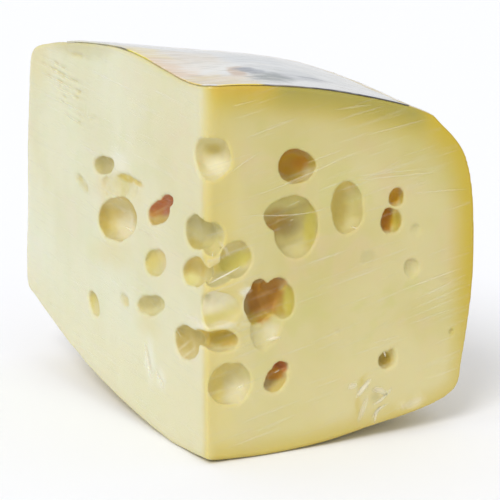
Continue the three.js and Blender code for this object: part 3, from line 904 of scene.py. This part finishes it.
def makeLabelMaterial(settings):
    # silvery printed paper under film: dull metallic-grey ink, fine fibres, slight creases
    material, tree = newMaterial("printedPaper")
    coords = addNode(tree, "ShaderNodeTexCoord").outputs["Object"]
    # the ink attribute: the print, and at the cut edge its painted shade
    printed = addNode(tree, "ShaderNodeAttribute", attribute_name="ink").outputs["Color"]
    strokes = settings["strokes"]
    brushed = addNode(tree, "ShaderNodeMapping", {
        "Vector": coords, "Rotation": (0, 0, math.radians(strokes["turn"])),
        "Scale": [1000 / size for size in strokes["size"]]}).outputs[0]
    smear = addNode(tree, "ShaderNodeTexNoise", {"Vector": brushed, "Scale": 1.0, "Detail": 4.0}).outputs[0]
    fibre = addNode(tree, "ShaderNodeTexNoise", {"Vector": coords, "Scale": 1000 / settings["fibre"],
                                                 "Detail": 2.0}).outputs[0]
    toned = layTones(tree, printed, [
        (smear, first, second, most, colour(tone)) for first, second, most, tone in settings["smears"]])
    bump = addNode(tree, "ShaderNodeBump", {"Height": fibre, "Strength": settings["fibreStrength"],
                                            "Distance": settings["fibreHeight"]}).outputs[0]
    shader = addNode(tree, "ShaderNodeBsdfPrincipled", {
        "Base Color": toned, "Roughness": settings["roughness"], "IOR": settings["ior"], "Normal": bump})
    addNode(tree, "ShaderNodeOutputMaterial", {"Surface": shader.outputs[0]})
    return material


labelPaper = makeLabel(label)
paintLabel(labelPaper, label)
coat(labelPaper, makeLabelMaterial(label))
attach(labelPaper, "root")
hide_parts("label")
print("label made:", len(labelPaper.data.polygons), "faces")

film = {
    "step": 1.5,
    "low": (-5, -5, -5.5), "high": (125, 180, 153),
    "triangles": 150000,
    "lift": 0.35, "labelLift": 0.55,      # mm proud of the cheese and of the crown under the label
    "labelMargin": 3.0, "labelFade": 4.0,
    "crownHeights": (90, 120),            # mm up where the label's lift starts and is full
    "soleLift": 0.6,
    "edge": 3.0,
    "dent": 0.9, "dentReach": 5.0,        # how far it sinks over an eye
    "slack": (0.12, 12.0, 6, 17),         # as the cheese's relief
    "fog": 0.025,                         # how milky it is over the long face
    "fogPatches": (0.2, 45.0, 5, 41),
    "longSide": ((-2.5, 0.2), (1, 8)),    # mm across x and along y where the long face starts and is full
    "flow": {"long": 4.0, "short": 12.0, "level": -28.0},    # the way it was pulled, degrees
    "unit": 10.0, "gap": 40.0,            # mm to one unit of the flow map, and units between its three parts
    "stress": [    # stress lines: mm across and along, where they start and are full, how strong, offset
        (0.13, 3.0, 0.58, 0.76, 0.13, 3.7), (0.4, 5.0, 0.58, 0.78, 0.12, 1.3),
    ],
    "stressHeight": 0.0006, "stressStrength": 0.28,
    "gloss": {"roughness": 0.12, "power": 6.5, "least": 0.012, "most": 0.8},
    "milk": "#f2efe4", "milkRoughness": 0.35,
}


def filmDistance(p, settings=film):
    plan = np.hypot(p[..., 0] - label["centre"][0], p[..., 1] - label["centre"][1])
    onLabel = (smoothstep(label["radius"] + settings["labelMargin"] - plan, 0, settings["labelFade"])
               * smoothstep(p[..., 2], *settings["crownHeights"]))
    lowered = p - settings["labelLift"] * onLabel[..., None] * np.array([0, 0, 1])
    return wedgeDistance(lowered, settings["edge"], soleLevel + settings["soleLift"]) - settings["lift"]


def layFlow(piece, settings):
    # a UV map that runs along the pull, from the side that each face of the mesh looks to
    mesh = piece.data
    corners = np.empty(len(mesh.loops), np.int32)
    mesh.loops.foreach_get("vertex_index", corners)
    normals = np.empty(len(mesh.polygons) * 3, np.float32)
    mesh.polygons.foreach_get("normal", normals)
    counts = np.empty(len(mesh.polygons), np.int32)
    mesh.polygons.foreach_get("loop_total", counts)
    side = np.repeat(np.argmax(np.abs(normals.reshape(-1, 3)), 1), counts)
    x, y, z = placesOf(piece)[corners].T
    flow = settings["flow"]
    uv = np.zeros((len(corners), 2), np.float32)
    sides = [(y, z, flow["long"]), (x, z, flow["short"]), (x, y, flow["level"])]
    for d, (a, b, turn) in enumerate(sides):
        mine = side == d
        along, across = turned(a[mine], b[mine], turn)
        uv[mine, 0] = along / settings["unit"]
        uv[mine, 1] = across / settings["unit"] + settings["gap"] * d
    mesh.uv_layers.new(name="flow").data.foreach_set("uv", uv.ravel())


def makeFilm(settings):
    axes = gridAxes(settings["low"], settings["high"], settings["step"])

    def skin(p):
        return filmDistance(p) + uneven(p, *settings["slack"])

    values = fillGrid(axes, skin)
    values = values + settings["dent"] * smoothstep(-eyesOnGrid(axes, values.shape), 0, settings["dentReach"])
    piece = thinTo(addPiece("cling_film", *surfaceNet(values, axes)), settings["triangles"])
    layFlow(piece, settings)
    p = placesOf(piece)
    cloudy = 1 - settings["fogPatches"][0] + uneven(p, *settings["fogPatches"])
    giveNumber(piece, "fog", settings["fog"] * onLongSide(p, settings["longSide"]) * cloudy)
    return piece


def makeFilmMaterial(settings):
    # stretched polythene cling film: nearly clear and glossy, with a faint veil and pale stress lines along
    # its pull, of which the broad ones, the last, are relief as well
    material, tree = newMaterial("clingFilm")
    flow = addNode(tree, "ShaderNodeUVMap", uv_map="flow").outputs[0]
    veil = addNode(tree, "ShaderNodeAttribute", attribute_name="fog").outputs["Fac"]
    for across, along, first, second, most, offset in settings["stress"]:
        drawn = addNode(tree, "ShaderNodeMapping", {"Vector": flow, "Location": (offset, offset, 0),
                                                    "Scale": (1 / along, 1 / across, 1)}).outputs[0]
        lines = addNode(tree, "ShaderNodeTexNoise", {"Vector": drawn, "Scale": 1.0, "Detail": 2.0,
                                                     "Roughness": 0.45}).outputs[0]
        pale = addNode(tree, "ShaderNodeMapRange", {
            "Value": lines, "From Min": first, "From Max": second, "To Max": most},
            interpolation_type="SMOOTHSTEP").outputs[0]
        veil = addNode(tree, "ShaderNodeMath", {0: veil, 1: pale}, operation="ADD", use_clamp=True).outputs[0]
    bump = addNode(tree, "ShaderNodeBump", {"Height": lines, "Strength": settings["stressStrength"],
                                            "Distance": settings["stressHeight"]}).outputs[0]
    gloss = settings["gloss"]
    shiny = addNode(tree, "ShaderNodeBsdfAnisotropic", {
        "Color": (1, 1, 1, 1), "Roughness": gloss["roughness"], "Normal": bump}).outputs[0]
    clear = addNode(tree, "ShaderNodeBsdfTransparent", {"Color": (1, 1, 1, 1)}).outputs[0]
    facing = addNode(tree, "ShaderNodeLayerWeight", {"Blend": 0.5, "Normal": bump}).outputs["Facing"]
    grazing = addNode(tree, "ShaderNodeMath", {0: facing, 1: gloss["power"]}, operation="POWER").outputs[0]
    shine = addNode(tree, "ShaderNodeMapRange", {"Value": grazing, "To Min": gloss["least"],
                                                 "To Max": gloss["most"]}).outputs[0]
    skin = addNode(tree, "ShaderNodeMixShader", {0: shine, 1: clear, 2: shiny}).outputs[0]
    milky = addNode(tree, "ShaderNodeBsdfPrincipled", {"Base Color": colour(settings["milk"]),
                                                       "Roughness": settings["milkRoughness"]}).outputs[0]
    mixed = addNode(tree, "ShaderNodeMixShader", {0: veil, 1: skin, 2: milky}).outputs[0]
    addNode(tree, "ShaderNodeOutputMaterial", {"Surface": mixed})
    return material


clingFilm = makeFilm(film)
coat(clingFilm, makeFilmMaterial(film))
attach(clingFilm, "root")
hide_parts("cheese")
print("film made:", len(clingFilm.data.polygons), "faces")

# Folds standing in the film. Each line: its points (out, up) in mm on its face, its half width in mm and how
# milky it is.
folds = {
    "inputs": [    # of the node tree: name, kind, value
        ("Section Step", "NodeSocketFloat", 0.0012),    # metres between the sections of a fold
        ("Flatness", "NodeSocketFloat", 0.14),          # height of a fold as a share of its width
        ("Waver", "NodeSocketFloat", 0.0004),
        ("Waver Scale", "NodeSocketFloat", 180.0),      # bends to a metre
        ("Fullness", "NodeSocketFloat", 1.9),           # width in the middle, in half widths
        ("Taper", "NodeSocketFloat", 0.45),
        ("Sides", "NodeSocketInt", 12),
        ("Seed", "NodeSocketInt", 5),
    ],
    "seed": 5,
    "apart": 1.7,          # mm kept between a faint fold and any other
    "length": (6, 26), "milk": (0.04, 0.13),    # of a faint fold
    "levelLeast": 2.0,     # mm from the short face where folds on the crown end
    "overrun": 4.0,        # mm that a fold on a cut face may run past its patch
    "faint": [             # face, how many, between which outs and ups, the pull in degrees, widest
        ("short", 26, (30, 100), (90, 126), 13, 0.8), ("short", 20, (70, 104), (34, 62), 12, 0.8),
        ("short", 10, (2, 60), (6, 60), 12, 0.5), ("short", 8, (8, 100), (66, 100), 8, 0.5),
        ("long", 22, (20, 150), (20, 128), 5, 0.5), ("level", 30, (8, 70), (6, 80), -28, 0.26),
    ],
    "lines": {
        # several short bright lines are painted highlights, white marks where the film glints: in the eyes at
        # (27, 30), (40, 79), (61, 83) and (76, 31), and low on the right from (84, 7) to (95, 11)
        "short": [
            ([(13.9, 97.3), (28.4, 100.4), (64.7, 111.5)], 0.45, 0.26),
            ([(65.5, 116.8), (95.4, 121.3)], 0.4, 0.26),
            ([(11.8, 91.5), (41.2, 89.7), (56.2, 92.1)], 0.3, 0.34),
            ([(57.9, 100.3), (102.7, 100.1)], 0.4, 0.24), ([(59.0, 101.8), (99.0, 102.0)], 0.3, 0.18),
            ([(87.5, 92.9), (114.5, 92.2)], 0.4, 0.22), ([(83.3, 55.4), (110.5, 61.0)], 0.6, 0.2),
            ([(88.0, 46.9), (112.4, 53.7)], 0.7, 0.2), ([(85.8, 41.2), (111.3, 45.9)], 0.6, 0.2),
            ([(89.0, 50.6), (112.6, 57.8)], 0.6, 0.18), ([(86.0, 43.6), (110.4, 49.8)], 0.5, 0.18),
            ([(38.9, 108.1), (58.2, 112.8)], 0.35, 0.22), ([(7.7, 107.1), (23.0, 115.1)], 0.4, 0.2),
            ([(13.9, 119.5), (32.5, 124.7)], 0.5, 0.18), ([(3.3, 131.0), (22.9, 134.0)], 0.4, 0.18),
            ([(51.5, 127.7), (70.5, 128.5)], 0.5, 0.2), ([(0.3, 67.2), (8, 70), (15.1, 72.7)], 0.42, 0.85),
            ([(24.0, 43.0), (27.5, 43.3), (31.7, 43.2)], 0.85, 0.6), ([(11.8, 26.0), (15.6, 26.6)], 0.5, 0.4),
            ([(40.3, 79.2), (42.6, 79.3)], 0.4, 0.6), ([(27.4, 29.6), (31.4, 31.0)], 0.25, 0.5),
            ([(60.4, 83.2), (62.6, 82.0), (64.4, 81.9)], 0.28, 0.6), ([(32.6, 92.6), (40.0, 95.2)], 0.2, 0.3),
            ([(0.2, 50.6), (5, 51.6), (10, 50.4), (14.5, 47.6)], 1.7, 0.26),
            ([(13.0, 63.0), (15.5, 62.6), (19.5, 62.8)], 1.2, 0.3),
            ([(4.2, 83.5), (7.8, 79.5), (9.2, 76.0)], 1.0, 0.26), ([(2.6, 79.6), (2.0, 76.6)], 0.4, 0.6),
            ([(33.8, 87.2), (36.8, 88.4)], 0.25, 0.35), ([(33.2, 85.6), (36.0, 86.6)], 0.2, 0.35),
            ([(76.0, 32.6), (77.3, 29.2)], 0.5, 0.6), ([(63.6, 14.6), (67.4, 18.8), (71.0, 22.2)], 1.3, 0.85),
            ([(59.8, 19.2), (62.6, 20.2), (65.0, 19.8)], 1.4, 0.6),
            ([(69.4, 16.0), (67.4, 10.5), (64.8, 4.6)], 1.5, 0.45),
            ([(70.6, 17.4), (74.4, 16.8), (78.4, 14.4)], 1.5, 0.55),
            ([(71.2, 11.4), (74.4, 12.2), (78.0, 15.0)], 0.9, 0.6),
            ([(79.0, 11.0), (73.8, 8.8), (70.6, 5.2)], 0.8, 0.5),
            ([(75.4, 10.6), (73.0, 7.0), (72.4, 3.0)], 0.8, 0.5), ([(80.2, 17.6), (77.4, 13.4)], 0.7, 0.4),
            ([(83.6, 7.2), (89.0, 9.6), (94.6, 10.8)], 1.8, 0.28),
        ],
        "long": [
            ([(20, 51.5), (8, 51.8), (0.4, 50.4)], 1.4, 0.24), ([(26, 45.2), (19.5, 42.0)], 0.3, 0.45),
            ([(70, 75.6), (61.5, 74.6)], 0.5, 0.4), ([(155.5, 125.8), (107.2, 122.0)], 0.35, 0.4),
            ([(153.2, 129.5), (112.0, 125.8)], 0.3, 0.4), ([(137.9, 117.0), (108.5, 114.6)], 0.3, 0.4),
            ([(146.0, 122.2), (112.5, 119.6)], 0.3, 0.35), ([(150.2, 132.4), (118.0, 129.4)], 0.3, 0.3),
            ([(132.0, 112.2), (108.0, 109.0)], 0.3, 0.35),
            ([(107.4, 117.1), (104.6, 113.9), (94.8, 114.5)], 0.2, 0.35),
            ([(53.1, 33.2), (49.5, 26.0), (46.4, 18.3)], 2.0, 0.45),
            ([(43.4, 23.8), (38.5, 20.6), (35.0, 18.0)], 1.3, 0.4),
        ],
    },
    "tone": "#f0e9cd", "roughness": 0.45, "ior": 1.5,
}


def onFilm(face, a, b):
    # a point on the film's outside
    if face == "short":
        p, normal = np.array([a, 0.0, b]), np.array([0.0, -1.0, 0.0])
    elif face == "long":
        p, normal = np.array([0.0, a, b]), np.array([-1.0, 0.0, 0.0])
    else:
        p = np.array([a, b, float(crownHeights(np.array(a), np.array(b)))])
        normal = np.array([0.0, 0.0, 1.0])
    for _ in range(6):
        p = p - normal * filmDistance(p[None])[0]
    return p


def makeFoldTree(settings, material):
    # a flattened, tapered tube along each line, with how far up the crest and along the fold each point is
    tree = bpy.data.node_groups.new("filmFolds", "GeometryNodeTree")
    tree.interface.new_socket("Geometry", in_out="INPUT", socket_type="NodeSocketGeometry")
    inputs = {name: tree.interface.new_socket(name, in_out="INPUT", socket_type=kind).identifier
              for name, kind, value in settings["inputs"]}
    tree.interface.new_socket("Geometry", in_out="OUTPUT", socket_type="NodeSocketGeometry")
    given = addNode(tree, "NodeGroupInput").outputs
    curve = addNode(tree, "GeometryNodeMeshToCurve", {"Mesh": given["Geometry"]}).outputs[0]
    curve = addNode(tree, "GeometryNodeResampleCurve", {"Curve": curve, "Length": given["Section Step"]},
                    mode="LENGTH").outputs[0]
    place = addNode(tree, "GeometryNodeInputPosition").outputs[0]
    noise = addNode(tree, "ShaderNodeTexNoise", {
        "Vector": place, "W": given["Seed"], "Scale": given["Waver Scale"]},
        noise_dimensions="4D").outputs["Color"]
    centred = addNode(tree, "ShaderNodeVectorMath", {0: noise, 1: (0.5, 0.5, 0.5)},
                      operation="SUBTRACT").outputs[0]
    shift = addNode(tree, "ShaderNodeVectorMath", {0: centred, "Scale": given["Waver"]},
                    operation="SCALE").outputs[0]
    curve = addNode(tree, "GeometryNodeSetPosition", {"Geometry": curve, "Offset": shift}).outputs[0]
    curve = addNode(tree, "GeometryNodeSetCurveNormal", {"Curve": curve}, mode="Z_UP").outputs[0]

    along = addNode(tree, "GeometryNodeSplineParameter").outputs["Factor"]
    back = addNode(tree, "ShaderNodeMath", {0: 1.0, 1: along}, operation="SUBTRACT").outputs[0]
    bow = addNode(tree, "ShaderNodeMath", {0: along, 1: back}, operation="MULTIPLY").outputs[0]
    taper = addNode(tree, "ShaderNodeMath", {0: bow, 1: given["Taper"]}, operation="POWER").outputs[0]
    width = addNode(tree, "GeometryNodeInputNamedAttribute", {"Name": "foldWidth"},
                    data_type="FLOAT").outputs[0]
    radius = addNode(tree, "ShaderNodeMath", {0: taper, 1: width}, operation="MULTIPLY").outputs[0]
    radius = addNode(tree, "ShaderNodeMath", {0: radius, 1: given["Fullness"]},
                     operation="MULTIPLY").outputs[0]
    fade = addNode(tree, "ShaderNodeMath", {0: bow, 1: 4.0}, operation="MULTIPLY").outputs[0]
    curve = addNode(tree, "GeometryNodeStoreNamedAttribute", {
        "Geometry": curve, "Name": "foldFade", "Value": fade}, data_type="FLOAT", domain="POINT").outputs[0]

    ring = addNode(tree, "GeometryNodeCurvePrimitiveCircle", {"Resolution": given["Sides"], "Radius": 1.0},
                   mode="RADIUS").outputs[0]
    ringPlace = addNode(tree, "ShaderNodeSeparateXYZ", {0: place}).outputs[1]
    aside = addNode(tree, "ShaderNodeMath", {0: ringPlace, 1: ringPlace}, operation="MULTIPLY").outputs[0]
    crest = addNode(tree, "ShaderNodeMath", {0: 1.0, 1: aside}, operation="SUBTRACT").outputs[0]
    ring = addNode(tree, "GeometryNodeStoreNamedAttribute", {
        "Geometry": ring, "Name": "foldCrest", "Value": crest}, data_type="FLOAT", domain="POINT").outputs[0]
    flat = addNode(tree, "ShaderNodeCombineXYZ", {0: given["Flatness"], 1: 1.0, 2: 1.0}).outputs[0]
    ring = addNode(tree, "GeometryNodeTransform", {"Geometry": ring, "Scale": flat}).outputs[0]
    mesh = addNode(tree, "GeometryNodeCurveToMesh", {"Curve": curve, "Profile Curve": ring, "Scale": radius,
                                                     "Fill Caps": True}).outputs[0]
    mesh = addNode(tree, "GeometryNodeRealizeInstances", {"Geometry": mesh}).outputs[0]
    mesh = addNode(tree, "GeometryNodeSetMaterial", {"Geometry": mesh, "Material": material}).outputs[0]
    addNode(tree, "NodeGroupOutput", {0: mesh})
    return tree, inputs


def makeFoldMaterial(settings):
    # doubled cling film standing up in a fold: whitish, half clear, glossy, its milk only on the near side
    material, tree = newMaterial("foldedFilm")
    behind = addNode(tree, "ShaderNodeNewGeometry").outputs["Backfacing"]
    milk = addNode(tree, "ShaderNodeMath", {0: 1.0, 1: behind}, operation="SUBTRACT").outputs[0]
    for name in ("foldMilk", "foldCrest", "foldFade"):
        part = addNode(tree, "ShaderNodeAttribute", attribute_name=name).outputs["Fac"]
        milk = addNode(tree, "ShaderNodeMath", {0: milk, 1: part}, operation="MULTIPLY").outputs[0]
    shader = addNode(tree, "ShaderNodeBsdfPrincipled", {
        "Base Color": colour(settings["tone"]), "Roughness": settings["roughness"], "IOR": settings["ior"],
        "Alpha": milk})
    addNode(tree, "ShaderNodeOutputMaterial", {"Surface": shader.outputs[0]})
    return material


def traced(line):
    return np.vstack([np.linspace(a, b, 12) for a, b in zip(line, line[1:])])


def faintFolds(settings, given):
    # many faint straight folds, drawn out along the pull and clear of the given ones
    rng = np.random.default_rng(settings["seed"])
    found = []
    taken = [(face, traced(line)) for face, line, width, milky in given]
    for face, count, outs, ups, pull, widest in settings["faint"]:
        for _ in range(count):
            a, b = rng.uniform(*outs), rng.uniform(*ups)
            angle = math.radians(pull + rng.normal(0, 4))
            length = rng.uniform(*settings["length"])
            end = (a + length * math.cos(angle), b + length * math.sin(angle))
            width, milky = widest * rng.uniform(0.4, 1), rng.uniform(*settings["milk"])
            path = traced([(a, b), end])
            gaps = [np.linalg.norm(path[:, None] - other, axis=2).min() for on, other in taken if on == face]
            if face == "level":
                inside = end[1] > settings["levelLeast"]
            else:
                inside = end[0] < outs[1] + settings["overrun"]
            if inside and min(gaps, default=99) > settings["apart"]:
                found.append((face, [(a, b), end], width, milky))
                taken.append((face, path))
    return found


def makeFolds(settings):
    points, edges, widths, milk = [], [], [], []
    given = [(face, *row) for face, rows in settings["lines"].items() for row in rows]
    for face, line, width, milky in given + faintFolds(settings, given):
        path = smoothCurve(np.array(line, float), 5) if len(line) > 2 else np.array(line, float)
        edges += [(len(points) + i, len(points) + i + 1) for i in range(len(path) - 1)]
        points += [onFilm(face, a, b) for a, b in path]
        widths += [0.001 * width] * len(path)
        milk += [milky] * len(path)
    mesh = bpy.data.meshes.new("film_folds")
    mesh.from_pydata(toMetres(points).tolist(), edges, [])
    piece = addObject("film_folds", mesh)
    giveNumber(piece, "foldWidth", widths)
    giveNumber(piece, "foldMilk", milk)
    tree, inputs = makeFoldTree(settings, makeFoldMaterial(settings))
    modifier = piece.modifiers.new("folds", "NODES")
    modifier.node_group = tree
    for name, kind, value in settings["inputs"]:
        modifier[inputs[name]] = value
    return settle(piece)


filmFolds = makeFolds(folds)
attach(filmFolds, "root")
print("folds made:", len(filmFolds.data.polygons), "faces")

studio = {
    "floor": "#f5f6fa", "floorRoughness": 0.8, "floorSize": 6.0,
    "world": "#ffffff", "worldStrength": 0.78, "backdrop": 1.0,
    "key": {"towards": (-1.1, -0.9, 1.3), "strength": 1.45, "angle": 24.0},
}


def makeFloor(settings):
    half = settings["floorSize"] / 2
    mesh = bpy.data.meshes.new("floor")
    mesh.from_pydata([(x * half, y * half, 0) for x, y in ((-1, -1), (1, -1), (1, 1), (-1, 1))], [],
                     [(0, 1, 2, 3)])
    floor = addObject("floor", mesh)
    # smooth painted board: pale, matt
    material, tree = newMaterial("paintedBoard")
    shader = addNode(tree, "ShaderNodeBsdfPrincipled", {
        "Base Color": colour(settings["floor"]), "Roughness": settings["floorRoughness"]})
    addNode(tree, "ShaderNodeOutputMaterial", {"Surface": shader.outputs[0]})
    mesh.materials.append(material)


def makeLights(settings):
    # an even white room, a little brighter to the camera than as light, and one soft key
    world = bpy.data.worlds.new("studio")
    world.use_nodes = True
    tree = world.node_tree
    seen = addNode(tree, "ShaderNodeLightPath").outputs["Is Camera Ray"]
    strength = addNode(tree, "ShaderNodeMapRange", {"Value": seen, "To Min": settings["worldStrength"],
                                                    "To Max": settings["backdrop"]}).outputs[0]
    background = tree.nodes["Background"]
    background.inputs[0].default_value = colour(settings["world"])
    tree.links.new(strength, background.inputs[1])
    bpy.context.scene.world = world
    key = settings["key"]
    light = bpy.data.lights.new("key", "SUN")
    light.angle = math.radians(key["angle"])
    light.energy = key["strength"]
    lamp = addObject("key", light)
    lamp.location = key["towards"]
    lamp.rotation_euler = (-Vector(key["towards"])).to_track_quat("-Z", "Y").to_euler()


makeFloor(studio)
makeLights(studio)
bpy.context.scene.view_settings.view_transform = "Standard"
print("studio made")
